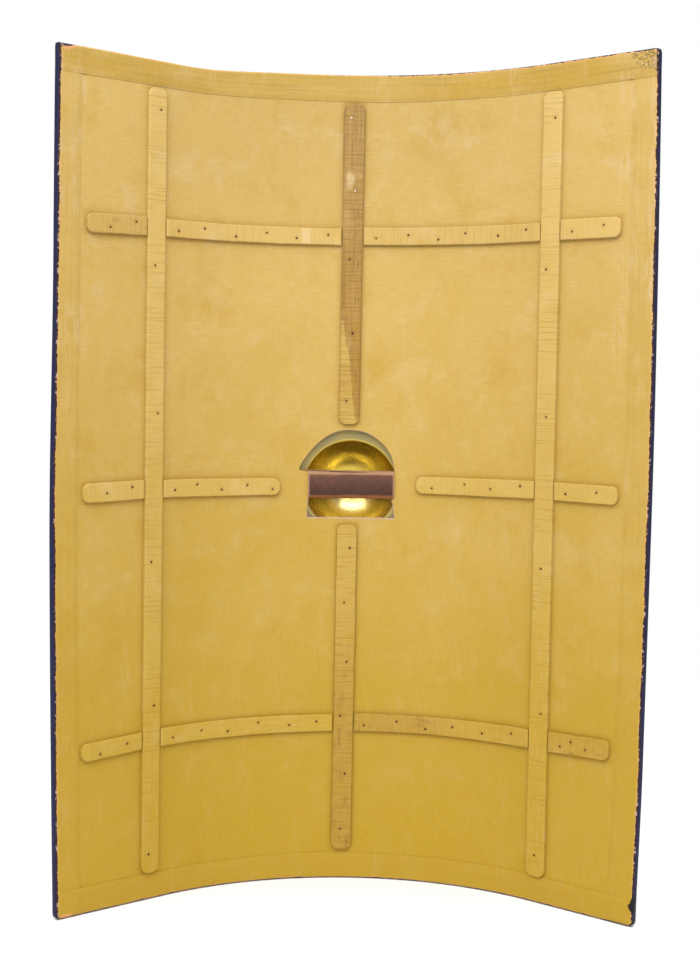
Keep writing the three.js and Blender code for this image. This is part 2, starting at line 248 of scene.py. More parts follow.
OCHRE_LOW = colour(168, 137, 34)
# The upper ochre is paler to paint the sheen of the light from above.
OCHRE_SHEEN_TOP = colour(189, 159, 92)
OCHRE_DEEP = colour(164, 129, 24)
# A paler ochre that paints the battens' sheen towards the top.
OCHRE_BATTEN_SHEEN = colour(208, 180, 112)
# A deep ochre for the painted shade beside the battens and for saw marks.
OCHRE_SHADE_AND_SAW_MARKS = colour(146, 108, 20)
# Chalk, also used to paint the sheen towards the top.
CHALK_AND_SHEEN = colour(198, 174, 136)
# A darker brushed ochre, also used to paint shade in the upper middle.
BRUSHED_AND_SHADE = colour(150, 126, 66)
DIRT = colour(84, 62, 40)
SOILED_PAINT = colour(150, 114, 50)
RUST = colour(120, 78, 34)
BARE_WOOD = colour(158, 127, 70)
BARE_WOOD_YELLOWED = colour(155, 119, 46)
BARE_WOOD_PALE = colour(178, 148, 92)
BARE_WOOD_DARK = colour(120, 86, 48)
CREAM = colour(204, 182, 138)
NAVY = colour(24, 28, 60)
NAVY_WORN = colour(52, 54, 84)
RIM_BROWN = colour(44, 28, 32)
# Raw cloth, also used for the painted highlight along the inner arris.
RAW_CLOTH_AND_ARRIS_HIGHLIGHT = colour(206, 150, 100)
RAW_BOARD = colour(196, 166, 146)
RAW_BOARD_DARK = colour(150, 112, 84)
CRACKED = colour(84, 72, 44)
SMEAR = colour(26, 22, 26)
NAVY_PALE = colour(32, 37, 74)
# A pale brass that paints the highlight low in the dome.
BRASS_PAINTED_HIGHLIGHT = colour(232, 214, 156)
BRASS_BRIGHT = colour(230, 202, 84)
BRASS_DEEP = colour(210, 182, 66)
BRASS_DULL = colour(146, 134, 88)
BRASS_DULL_WARM = colour(158, 142, 84)
# The leather in painted shade low down and in painted light high up.
LEATHER_SHADED_LOW = colour(62, 35, 24)
LEATHER_LIT_HIGH = colour(98, 64, 48)
LEATHER_CREASED = colour(52, 28, 22)
LEATHER_SCUFFED = colour(136, 84, 56)
# The leather's painted highlight on its top edge and its painted reflection of the brass on its lower
# edge.
LEATHER_TOP_HIGHLIGHT = colour(158, 118, 86)
LEATHER_BRASS_REFLECTION = colour(140, 88, 44)
LEATHER_RAW = colour(176, 136, 116)
IRON_DARK = colour(74, 34, 18)
IRON_RUSTED = colour(100, 54, 28)
DAB = colour(214, 204, 184)
DAB_YELLOWED = colour(184, 166, 130)
FLOOR = colour(247, 247, 247)
FLOOR_PALE = colour(251, 251, 251)


def thread_heights(finish, place):
    """Plain weave: threads up and across, of uneven thickness."""
    station, _, level = finish.parts(place)
    pitch = 0.0016
    uneven_up = finish.streaks(place, 460, 1, 70)
    uneven_across = finish.streaks(place, 70, 1, 460)
    up = finish.wave(station, pitch) * 0.25 + uneven_up * 1.6
    across = finish.wave(level, pitch) * 0.25 + uneven_across * 1.6
    return up, across


def ochre(finish, place):
    """Ochre paint: golden where it lies thick; paler towards the top as painted sheen, with some
    chalk; darker in the upper middle as painted shade.
    """
    station, _, level = finish.parts(place)
    broad = finish.cloud(place, 6.0, 4.0, 0.6)
    thick = finish.cloud(place, 13.0, 5.0, 0.65)
    thin = finish.cloud(place, 19.0, 5.0, 0.65, 0.4)
    height = level * (1 / HEIGHT)
    # Painted sheen: the colour turns paler towards the top, where the light from above glances off the
    # paint.
    base = finish.mix(finish.ramp(height + (broad - 0.5) * 0.7, 0.0, 1.0), OCHRE_LOW, OCHRE_SHEEN_TOP)
    base = finish.mix(finish.ramp(thick, 0.5, 0.72) * 0.4, base, OCHRE_DEEP)
    # Painted shade: the upper middle is darkened against the light that falls strongest there.
    shaded_upper_middle = finish.ramp(level, 0.74, 1.0) * (1 - finish.ramp(station.absolute(), 0.08, 0.34))
    base = finish.mix(shaded_upper_middle * 0.36, base, BRUSHED_AND_SHADE)
    # Painted sheen: the chalk grows stronger towards the top.
    return finish.mix(finish.ramp(thin, 0.5, 0.7) * (0.03 + height * 0.32), base, CHALK_AND_SHEEN)


def ochre_on_canvas(finish, place, golden):
    """The colour, relief and chalkiness of ochre paint brushed over canvas."""
    up, across = thread_heights(finish, place)
    station, _, level = finish.parts(place)
    rubbed_and_lit = finish.streaks(place, 40, 20, 12, detail=5.0)
    specks = finish.streaks(place, 220, 60, 36, detail=4.0)
    beside_rim = finish.ramp(station.absolute(), 0.33, 0.385) * finish.ramp(level, 0.4, 0.95)
    base = finish.mix(golden, ochre(finish, place), OCHRE_DEEP)
    chalky = finish.ramp(rubbed_and_lit + beside_rim * 0.08, 0.5, 0.72) * finish.ramp(specks, 0.4, 0.6)
    # Painted sheen as well as chalk: the chalky patches and thread tops pale more towards the top.
    base = finish.mix(chalky * (0.08 + level * 0.16 + beside_rim * 0.5), base, CHALK_AND_SHEEN)
    base = finish.mix(finish.ramp(up, 0.6, 1.1) * (0.07 + level * 0.1), base, CHALK_AND_SHEEN)
    base = finish.mix(finish.ramp(across, 0.6, 1.1) * 0.24, base, OCHRE_DEEP)
    return base, up + across, chalky


def inside_paint():
    """The board's inner face: canvas glued on and painted ochre."""
    finish = Finish("ochre_inside")
    place = finish.kept("place")
    pooled_and_shaded = finish.amount("pooled_and_shaded")
    base, height, chalky = ochre_on_canvas(finish, place, 0.0)
    # Painted shade beside the battens, with some paint pooling.
    base = finish.mix(pooled_and_shaded * 0.4, base, OCHRE_SHADE_AND_SAW_MARKS)
    return finish.done({
        "Base Color": base,
        "Roughness": 0.66 + chalky * 0.15,
        "Specular IOR Level": 0.16,
        "Normal": finish.relief(height, 0.0001, 0.6),
    })


def front_paint():
    """The board's front: navy over the same canvas, scuffed."""
    finish = Finish("navy_front")
    place = finish.kept("place")
    up, across = thread_heights(finish, place)
    broad = finish.cloud(place, 4.0, 4.0, 0.6)
    scuffed = finish.ramp(finish.streaks(place, 60, 20, 18, detail=6.0), 0.62, 0.75)
    base = finish.mix(finish.ramp(broad, 0.3, 0.8), NAVY, NAVY_PALE)
    base = finish.mix(scuffed * 0.5, base, NAVY_WORN)
    return finish.done({
        "Base Color": base,
        "Roughness": 0.5 + scuffed * 0.2,
        "Normal": finish.relief(up + across, 0.00008, 0.7),
    })


def cut_board():
    """The sawn sides of the hand openings."""
    finish = Finish("cut_board")
    place = finish.kept("place")
    _, depth, _ = finish.parts(place)
    plies = finish.ramp(finish.wave(depth, 0.0023), -0.3, 0.3)
    fibres = finish.streaks(place, 500, 60, 500)
    base = finish.mix(plies * 0.5, RAW_BOARD, RAW_BOARD_DARK)
    base = finish.mix(finish.ramp(fibres, 0.5, 0.7) * 0.4, base, CREAM)
    return finish.done({
        "Base Color": base,
        "Roughness": 0.85,
        "Normal": finish.relief(fibres, 0.0002, 0.6),
    })


def binding_cloth():
    """Folded cloth strips, painted with the board: ochre inside, navy from the rim out."""
    finish = Finish("binding_cloth")
    place = finish.kept("place")
    cloth = finish.kept("cloth")
    _, across, worn = finish.parts(cloth)
    bare, smeared, cracked = finish.parts(finish.kept("corner"))
    thick = finish.streaks(place, 6, 6, 30, detail=4.0)
    brush = finish.streaks(cloth, 11, 260, 0, detail=4.0)
    _, _, level = finish.parts(place)
    top = finish.ramp(level, HEIGHT - HEM - 0.004, HEIGHT - HEM + 0.001)
    golden = finish.ramp(thick, 0.3, 0.65) * (0.24 + top * 0.3) + top * 0.2
    paint, height, _ = ochre_on_canvas(finish, place, golden)
    brushed = finish.ramp(brush, 0.5, 0.7) * (0.04 + level * 0.18 + top * 0.24)
    paint = finish.mix(brushed, paint, BRUSHED_AND_SHADE)
    ragged = finish.streaks(place, 300, 300, 300, detail=4.0)
    uneven = finish.cloud(place, 40.0, 4.0)
    edge = across + (ragged - 0.5) * 0.0034 + (uneven - 0.5) * 0.0034 + worn
    inside = 1 - finish.ramp(edge, 0.0301, 0.0305)
    navy = finish.ramp(edge, 0.0319, 0.0336)
    scuffed = finish.ramp(finish.streaks(place, 60, 20, 18, detail=6.0), 0.6, 0.78)
    blue = finish.mix(scuffed * 0.4, NAVY, NAVY_WORN)
    chips = finish.cloud(place, 130.0, 5.0, 0.7)
    # Paler along the inner arris: a painted highlight where the edge catches the light, with raw cloth
    # where the paint is worn.
    base = finish.mix(finish.ramp(edge, 0.0286, 0.0298) * 0.5, paint, RAW_CLOTH_AND_ARRIS_HIGHLIGHT)
    base = finish.mix(finish.ramp(bare + (chips - 0.5) * 0.6, 0.4, 0.7) * 0.75, base, RAW_CLOTH_AND_ARRIS_HIGHLIGHT)
    base = finish.mix(inside, finish.mix(navy, RIM_BROWN, blue), base)
    at_arris = finish.ramp(edge, 0.0292, 0.0304) * (1 - finish.ramp(edge, 0.0312, 0.0326))
    base = finish.mix(finish.ramp(chips, 0.56, 0.62) * at_arris * 0.8, base, RAW_BOARD)
    cracks = (1 - finish.ramp((chips - 0.5).absolute(), 0.008, 0.035)) * finish.ramp(cracked, 0.2, 0.8)
    base = finish.mix(cracks * inside * 0.85, base, CRACKED)
    lifted = finish.ramp(ragged, 0.54, 0.62) * finish.ramp(cracked, 0.4, 1.0) * inside
    base = finish.mix(lifted * 0.6, base, RAW_BOARD)
    base = finish.mix(finish.ramp(smeared * 0.8 + ragged, 0.92, 1.0), base, SMEAR)
    return finish.done({
        "Base Color": base,
        "Roughness": 0.62,
        "Specular IOR Level": 0.2,
        "Normal": finish.relief(height - cracks, 0.0001, 0.7),
    })


def painted_wood(name, saw_marked):
    """Ochre brushed over sawn wood, with a stain round each nail."""
    finish = Finish(name)
    place = finish.kept("place")
    grain = finish.kept("grain")
    stain, soiled, cream = finish.parts(finish.kept("marks"))
    fibres = finish.streaks(grain, 30, 900, 200, detail=4.0)
    saw_marks = finish.streaks(grain, 330, 12, 12)
    sets = finish.streaks(grain, 18, 8, 8)
    blotches = finish.streaks(grain, 60, 150, 100, detail=5.0)
    sawn = finish.ramp(saw_marks, 0.5, 0.62) * finish.ramp(sets + soiled * 0.4, 0.36, 0.56)
    _, _, level = finish.parts(place)
    # Painted sheen: the battens turn paler towards the top.
    base = finish.mix(0.04 + level * 0.2, ochre(finish, place), OCHRE_BATTEN_SHEEN)
    base = finish.mix(finish.ramp(fibres, 0.52, 0.7) * 0.25, base, CHALK_AND_SHEEN)
    base = finish.mix(soiled * 0.95, base, SOILED_PAINT)
    base = finish.mix(sawn * (saw_marked + soiled * 0.36), base, OCHRE_SHADE_AND_SAW_MARKS)
    base = finish.mix(finish.ramp(blotches + soiled * 0.5, 0.7, 1.1) * 0.5, base, DIRT)
    base = finish.mix(cream * 0.5, base, CREAM)
    base = finish.mix(stain * 0.55, base, RUST)
    return finish.done({
        "Base Color": base,
        "Roughness": 0.6 + fibres * 0.15,
        "Specular IOR Level": 0.2,
        "Normal": finish.relief(fibres * 0.6 - sawn, 0.0003, 0.6),
    })


def bare_wood():
    """The batten whose paint has worn thin over the weathered wood."""
    finish = Finish("worn_batten")
    grain = finish.kept("grain")
    place = finish.kept("place")
    stain, bare, cream = finish.parts(finish.kept("marks"))
    _, _, level = finish.parts(place)
    figure = finish.streaks(grain, 4, 220, 60)
    fibres = finish.streaks(grain, 40, 1400, 300, detail=4.0)
    saw_marks = finish.streaks(grain, 420, 12, 12)
    patches = finish.cloud(place, 26.0, 4.0, 0.6)
    wood = finish.mix(finish.ramp(level, 0.66, 0.95), BARE_WOOD_YELLOWED, BARE_WOOD)
    wood = finish.mix(finish.ramp(figure, 0.46, 0.68) * 0.5, wood, BARE_WOOD_DARK)
    wood = finish.mix(finish.ramp(fibres, 0.5, 0.7) * 0.5, wood, BARE_WOOD_PALE)
    wood = finish.mix(finish.ramp(patches, 0.5, 0.7) * 0.5, wood, BARE_WOOD_PALE)
    crack = 1 - finish.ramp((figure - 0.45).absolute(), 0.003, 0.014)
    wood = finish.mix(crack * 0.6, wood, DIRT)
    thinned = 0.4 - finish.ramp(patches, 0.4, 0.6) * 0.3
    paint = finish.mix(thinned, ochre(finish, place), BARE_WOOD_YELLOWED)
    left = bare + (patches - 0.5) * 0.5 + (fibres - 0.5) * 0.9
    base = finish.mix(finish.ramp(left, 0.2, 0.8), paint, wood)
    line = 1 - finish.ramp((left - 0.5).absolute(), 0.02, 0.2)
    base = finish.mix(line * 0.4, base, RUST)
    base = finish.mix(finish.ramp(saw_marks, 0.47, 0.62) * 0.45, base, BARE_WOOD_DARK)
    ragged = finish.cloud(place, 110.0, 5.0, 0.7)
    base = finish.mix(finish.ramp(cream + (ragged - 0.5) * 1.6, 0.35, 0.95) * 0.5, base, CREAM)
    base = finish.mix(stain * 0.6, base, DIRT)
    return finish.done({
        "Base Color": base,
        "Roughness": 0.7,
        "Specular IOR Level": 0.2,
        "Normal": finish.relief(fibres - saw_marks * 0.8, 0.0003, 0.7),
    })


def brass():
    """Hammered brass sheet, warm in the hollow and dulled on the flat, with a painted highlight low in
    the dome.
    """
    finish = Finish("brass")
    place = finish.kept("place")
    dulled = finish.amount("dulled")
    spots = finish.cloud(place, 45.0, 5.0, 0.6)
    broad = finish.cloud(place, 14.0, 3.0)
    gold = finish.mix(finish.ramp(broad, 0.35, 0.7), BRASS_BRIGHT, BRASS_DEEP)
    dull = finish.mix(finish.ramp(spots, 0.4, 0.65), BRASS_DULL, BRASS_DULL_WARM)
    _, _, level = finish.parts(place)
    # Painted highlight: the dome turns paler below its middle, where the light from above shows in the
    # hollow.
    low = 1 - finish.ramp(level, BOSS_LEVEL - 0.03, BOSS_LEVEL + 0.004)
    gold = finish.mix(low * 0.65, gold, BRASS_PAINTED_HIGHLIGHT)
    base = finish.mix(dulled, gold, dull)
    return finish.done({
        "Base Color": base,
        "Metallic": 0.94 - dulled * 0.33,
        "Roughness": 0.26 + dulled * 0.26 + finish.ramp(spots, 0.4, 0.7) * 0.03,
        "Coat Weight": 0.3,
        "Coat Roughness": 0.28,
        "Normal": finish.relief(broad, 0.0002, 0.25),
    })


def leather():
    """The grip's leather: painted shade low down, painted light high up, a painted highlight along its
    top edge, painted warm light from the brass along its lower edge, and raw at its ends.
    """
    finish = Finish("grip_leather")
    place = finish.kept("place")
    upper, lower, ends = finish.parts(finish.kept("rubbed_and_lit"))
    _, _, level = finish.parts(place)
    creases = finish.cloud(place, 260.0, 5.0, 0.65, 0.6)
    broad = finish.cloud(place, 40.0, 4.0, 0.6)
    # Painted shade and light: darker low down and lighter high up, for the light from above.
    height = finish.ramp(level + (broad - 0.5) * 0.02, GRIP_BOTTOM + 0.005, GRIP_TOP - 0.005)
    base = finish.mix(height, LEATHER_SHADED_LOW, LEATHER_LIT_HIGH)
    base = finish.mix(finish.ramp(creases, 0.42, 0.62) * 0.4, base, LEATHER_CREASED)
    base = finish.mix(finish.ramp(creases, 0.54, 0.7) * 0.3, base, LEATHER_SCUFFED)
    # Painted highlight on the top edge and painted reflection of the brass on the lower edge.
    base = finish.mix(upper * 0.85, base, LEATHER_TOP_HIGHLIGHT)
    base = finish.mix(lower * 0.85, base, LEATHER_BRASS_REFLECTION)
    base = finish.mix(ends * 0.9, base, LEATHER_RAW)
    return finish.done({
        "Base Color": base,
        "Roughness": 0.55,
        "Specular IOR Level": 0.3,
        "Normal": finish.relief(creases, 0.0005, 0.6),
    })


def iron():
    """Small cut nails, rusted dark."""
    finish = Finish("nail_iron")
    place = finish.kept("place")
    rust = finish.cloud(place, 700.0, 4.0, 0.6)
    base = finish.mix(finish.ramp(rust, 0.4, 0.65), IRON_DARK, IRON_RUSTED)
    return finish.done({
        "Base Color": base,
        "Metallic": 0.1,
        "Roughness": 0.75 + rust * 0.2,
        "Specular IOR Level": 0.2,
        "Normal": finish.relief(rust, 0.0002, 0.5),
    })


def white_paint_dab():
    """Two nails were dabbed over with white."""
    finish = Finish("white_dab")
    place = finish.kept("place")
    base = finish.mix(finish.cloud(place, 500.0), DAB, DAB_YELLOWED)
    return finish.done({"Base Color": base, "Roughness": 0.7})


# ---------------------------------------------------------------- making pieces


def keep(mesh, name, values):
    """Keeps one number or three at each point of a mesh, for its finish to read."""
    values = list(values)
    single = isinstance(values[0], float)
    attribute = mesh.attributes.new(name, "FLOAT" if single else "FLOAT_VECTOR", "POINT")
    flat = values if single else [part for value in values for part in value]
    attribute.data.foreach_set("value" if single else "vector", flat)


def mesh_of(name, points, faces):
    mesh = bpy.data.meshes.new(name)
    mesh.from_pydata([tuple(point) for point in points], [], faces)
    mesh.validate()
    built = bmesh.new()
    built.from_mesh(mesh)
    bmesh.ops.recalc_face_normals(built, faces=built.faces)
    built.to_mesh(mesh)
    built.free()
    return mesh


def add(name, mesh):
    piece = bpy.data.objects.new(name, mesh)
    bpy.context.scene.collection.objects.link(piece)
    return piece


def settled(piece):
    """Works a piece's modifiers into its mesh."""
    bpy.context.view_layer.update()
    seen = piece.evaluated_get(bpy.context.evaluated_depsgraph_get())
    mesh = bpy.data.meshes.new_from_object(seen)
    piece.modifiers.clear()
    piece.data = mesh


def cut_away(piece, *tools):
    for tool in tools:
        cut = piece.modifiers.new("cut", "BOOLEAN")
        cut.object = tool
        cut.operation = "DIFFERENCE"
        cut.solver = "EXACT"
    settled(piece)
    for tool in tools:
        bpy.data.objects.remove(tool)


def keep_places(mesh):
    """Keeps, and returns, where each point of a mesh is now."""
    places = [vertex.co.copy() for vertex in mesh.vertices]
    keep(mesh, "place", places)
    return places


def bent(piece):
    """Bends a flat piece to the shield. Its points keep their flat places."""
    for vertex, place in zip(piece.data.vertices, keep_places(piece.data)):
        vertex.co = point_at(*place)


def smoothed(piece, angle):
    """Smooth shading, with an edge sharper than the angle left crisp."""
    mesh = piece.data
    built = bmesh.new()
    built.from_mesh(mesh)
    for face in built.faces:
        face.smooth = True
    for edge in built.edges:
        if len(edge.link_faces) == 2:
            edge.smooth = edge.calc_face_angle(0.0) < angle
    built.to_mesh(mesh)
    built.free()


def ready(piece, replaced, materials):
    """The piece takes its finishes, and rides on the shield in place of its solids."""
    for material in materials:
        piece.data.materials.append(material)
    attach(piece, "root")
    if replaced:
        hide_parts(*replaced)


def circle(steps):
    """The angles of points evenly round a circle."""
    return [2 * math.pi * i / steps for i in range(steps)]


def rings(points_by_ring, closed_across, first_cap, last_cap):
    """Points and faces of a skin through rings with as many points each."""
    points = [point for ring in points_by_ring for point in ring]
    count = len(points_by_ring[0])
    faces = []
    for start in range(0, len(points) - count, count):
        for i in range(count if closed_across else count - 1):
            j = (i + 1) % count
            faces.append((start + i, start + j, start + count + j, start + count + i))
    if first_cap:
        faces.append(tuple(range(count)))
    if last_cap:
        faces.append(tuple(range(len(points) - count, len(points))))
    return points, faces


def tip(points, faces, end, sides):
    """Closes the last ring of a skin to its end point."""
    last, apex = len(points) - sides, len(points)
    points.append(end)
    faces += [(last + i, last + (i + 1) % sides, apex) for i in range(sides)]


# ---------------------------------------------------------------- rounded corners

# The radius that each corner of the rim has been worn or cut to.
CORNERS = {(-1, 1): 0.0015, (1, 1): 0.0045, (-1, -1): 0.006, (1, -1): 0.006}


def round_corner(station, level):
    """Draws a place that is beyond a rounded corner of the rim in to its curve."""
    side = 1 if station > 0 else -1
    end = 1 if level > HEIGHT / 2 else -1
    radius = CORNERS[(side, end)]
    beyond = radius - (edge_at(level) + COVER - abs(station))
    above = radius - (HEIGHT - level if end > 0 else level)
    if beyond <= 0 or above <= 0:
        return station, level
    share = max(beyond, above) / math.hypot(beyond, above)
    return station - side * beyond * (1 - share), level - end * above * (1 - share)


def trimmed(station, level):
    """A place on the real board: its corners are rounded and its rim was cut by eye."""
    station, level = round_corner(station, level)
    if station > 0:
        out = 0.0021 * smooth(level, 0.0, 0.2) + 0.0017 * smooth(level, 0.25, 0.65) - 0.0008
    else:
        out = 0.0021 - 0.0045 * smooth(level, 0.45, 0.80)
    dip = 0.0047 * math.exp(-((station + 0.20) / 0.075) ** 2) + 0.0022 * smooth(-station, 0.22, 0.30)
    near_side = smooth(abs(station), 0.345, 0.400)
    return (
        station + (out if station > 0 else -out) * near_side,
        level - dip * smooth(level, 0.985, 1.036),
    )


# ---------------------------------------------------------------- board

OPENING_CENTRE = -0.001
OPENING_RADIUS = 0.0575
OPENING_HEIGHT = 0.0548
OPENING_FLARE = 0.0085
STRIP_TOP = 0.5345
STRIP_BOTTOM = 0.5055
SLOT = [(0.057, 0.476), (0.052, STRIP_BOTTOM), (-0.054, STRIP_BOTTOM), (-0.056, 0.476)]


def upper_outline():
    """The half round, cut by hand, running out at its lower left corner."""
    outline = []
    for angle in evenly(0, math.pi, 56):
        flare = OPENING_FLARE * max(0.0, (angle - 2.3) / (math.pi - 2.3)) ** 1.4
        radius = OPENING_RADIUS + flare + 0.0006 * wander(1, angle * 2.2)
        height = OPENING_HEIGHT + 0.0006 * wander(2, angle * 3)
        outline.append((
            OPENING_CENTRE + radius * math.cos(angle),
            STRIP_TOP + height * math.sin(angle) + 0.0034 * smooth(angle, 2.7, math.pi),
        ))
    return outline


def lower_outline():
    """The flared slot, its corners a little rounded."""
    outline = []
    corner = 0.003
    for i, (station, level) in enumerate(SLOT):
        before, after = Vector(SLOT[i - 1]), Vector(SLOT[(i + 1) % 4])
        here = Vector((station, level))
        start = here + (before - here).normalized() * corner
        end = here + (after - here).normalized() * corner
        for share in evenly(0, 1, 4):
            bow = start.lerp(here, share).lerp(here.lerp(end, share), share)
            outline.append((bow.x, bow.y))
        for share in evenly(0, 1, 12)[1:-1]:
            run = end.lerp(after + (here - after).normalized() * corner, share)
            outline.append((
                run.x + 0.0004 * wander(4, run.y * 90),
                run.y + 0.0004 * wander(3, run.x * 90),
            ))
    return outline


def opening_cutter(name, outline, eased):
    """A cutter through the board, wider at both faces so that the arrises are eased."""
    count = len(outline)
    turn = sum(
        outline[i - 1][0] * outline[i][1] - outline[i][0] * outline[i - 1][1]
        for i in range(count)
    )
    outward = []
    for i in range(count):
        before, after = Vector(outline[i - 1]), Vector(outline[(i + 1) % count])
        run = (after - before).normalized()
        outward.append(Vector((run.y, -run.x)) * (1 if turn > 0 else -1))
    layers = []
    for depth, wide in (
        (-0.01, eased), (0.0, eased), (eased, 0.0),
        (BOARD - eased, 0.0), (BOARD, eased), (BOARD + 0.01, eased),
    ):
        layers.append([
            (place[0] + out.x * wide, depth, place[1] + out.y * wide)
            for place, out in zip(outline, outward)
        ])
    return add(name, mesh_of(name, *rings(layers, True, True, True)))


def shade_near_battens(station, level):
    """How much painted shade lies here beside the battens, with some paint pooling against them."""
    nearest = 1.0
    for batten in BATTENS.values():
        along, across = (level, station) if batten.upright else (station, level)
        beyond = max(batten.first - along, along - batten.last, 0.0)
        middle = batten.middle(min(max(along, batten.first), batten.last))
        off = max(abs(across - middle) - batten.width / 2, 0.0)
        nearest = min(nearest, math.hypot(beyond, off))
    return math.exp(-nearest / 0.0026)


def board_piece():
    """The board with its two hand openings. The strip between them carries the grip."""
    across, up = 190, 236
    points, faces = [], []
    low, high = COVER, HEIGHT - COVER
    eased = 0.0015
    for depth in (0.0, BOARD):
        for level in evenly(low, high, up):
            for share in evenly(-1, 1, across):
                station = share * edge_at(level)
                inner_edge = min(edge_at(level) - abs(station), level - low, high - level)
                lift = 0.00012 * wander(11, station * 22, level * 22)
                lift += 0.00006 * wander(12, station * 90, level * 60)
                moved = depth + lift * smooth(inner_edge, 0.0, 0.01)
                ease = eased if inner_edge < 1e-6 else 0.0
                moved += ease if depth == 0 else -ease
                placed = trimmed(station, level)
                points.append((placed[0], moved, placed[1]))
    row = across + 1
    skin = row * (up + 1)
    for j in range(up):
        for i in range(across):
            a = j * row + i
            faces.append((a, a + 1, a + row + 1, a + row))
            faces.append((skin + a, skin + a + row, skin + a + row + 1, skin + a + 1))
    rim = list(range(row))
    rim += [j * row + across for j in range(1, up + 1)]
    rim += [up * row + i for i in range(across - 1, -1, -1)]
    rim += [j * row for j in range(up - 1, 0, -1)]
    for i, place in enumerate(rim):
        following = rim[(i + 1) % len(rim)]
        faces.append((place, skin + place, skin + following, following))
    piece = add("painted_board", mesh_of("painted_board", points, faces))
    cut_away(
        piece,
        opening_cutter("upper_opening", upper_outline(), 0.0006),
        opening_cutter("lower_opening", lower_outline(), 0.0014),
    )
    mesh = piece.data
    inside, front, sawn = range(3)
    for face in mesh.polygons:
        face.material_index = front if face.center.y > BOARD / 2 else inside
        if abs(face.normal.y) < 0.95 and abs(face.center.x) < 0.1:
            face.material_index = sawn
    # Painted shade beside the battens on the inner face.
    pooled_and_shaded = [
        shade_near_battens(vertex.co.x, vertex.co.z) if vertex.co.y < BOARD / 2 else 0.0
        for vertex in mesh.vertices
    ]
    keep(mesh, "pooled_and_shaded", pooled_and_shaded)
    bent(piece)
    smoothed(piece, math.radians(28))
    ready(
        piece, ["board", "grip_core"],
        [inside_paint(), front_paint(), cut_board()],
    )


# ---------------------------------------------------------------- cloth binding

FOLD = 0.0022
HEM_PRESSED = 0.00032
HEM_THINNED = 0.45
CLOTH_DEPTH = GAP + CLOTH / 2


def fold_section():
    """The strip's section: (in from the board's edge, depth, distance across the cloth)."""
    centre = FOLD - CLOTH_DEPTH
    quarter = FOLD * math.pi / 2
    side = BOARD - 2 * centre
    section = []
    for inward in evenly(HEM, centre, 18):
        section.append((inward, -CLOTH_DEPTH, HEM - inward))
    start = HEM - centre
    for angle in evenly(0, math.pi / 2, 6)[1:]:
        section.append((
            centre - FOLD * math.sin(angle), centre - FOLD * math.cos(angle),
            start + FOLD * angle,
        ))
    start += quarter
    for share in evenly(0, side, 3)[1:]:
        section.append((-CLOTH_DEPTH, centre + share, start + share))
    start += side
    for angle in evenly(0, math.pi / 2, 6)[1:]:
        section.append((
            centre - FOLD * math.cos(angle), BOARD - centre + FOLD * math.sin(angle),
            start + FOLD * angle,
        ))
    start += quarter
    for inward in evenly(centre, HEM, 12)[1:]:
        section.append((inward, BOARD + CLOTH_DEPTH, start + inward - centre))
    return section


def straight(_):
    """A hem as wide all along."""
    return 0.0


def widened_foot(level):
    """How much wider the right strip's hem was left low down."""
    return 0.004 * (1 - smooth(level, 0.0, 0.35))


def top_wear(run):
    """Ochre covers the arris, but for navy at the far left and towards the right."""
    left_end = 1 - smooth(run, 0.006, 0.030)
    right_half = smooth(run, 0.38, 0.46)
    right_end = smooth(run, 0.765, 0.785)
    return 0.0042 * left_end + 0.0014 * right_half + 0.001 * right_end - 0.0028


def bottom_wear(run):
    """Ochre covers the arris, unevenly."""
    return 0.0005 * wander(71, run * 20) - 0.0018


def left_wear(run):
    """Navy shows at the arris, most of all low down."""
    return 0.0006 + 0.0004 * (1 - smooth(run, 0.3, 0.6)) + 0.0006 * wander(72, run * 14)


def right_wear(run):
    """Ochre reaches just over the arris, a little further high up."""
    return 0.0005 * wander(73, run * 14) - 0.0005 - 0.0004 * smooth(run, 0.5, 1.0)


def hem_edge(inward):
    """How near the cut edge of the hem, which is pasted down thin."""
    return smooth(inward, HEM - 0.005, HEM)


def ridge(inward, place, breadth, height):
    """A raised line in the cloth at a place in from the rim."""
    return height * math.exp(-((inward - place) / breadth) ** 2)


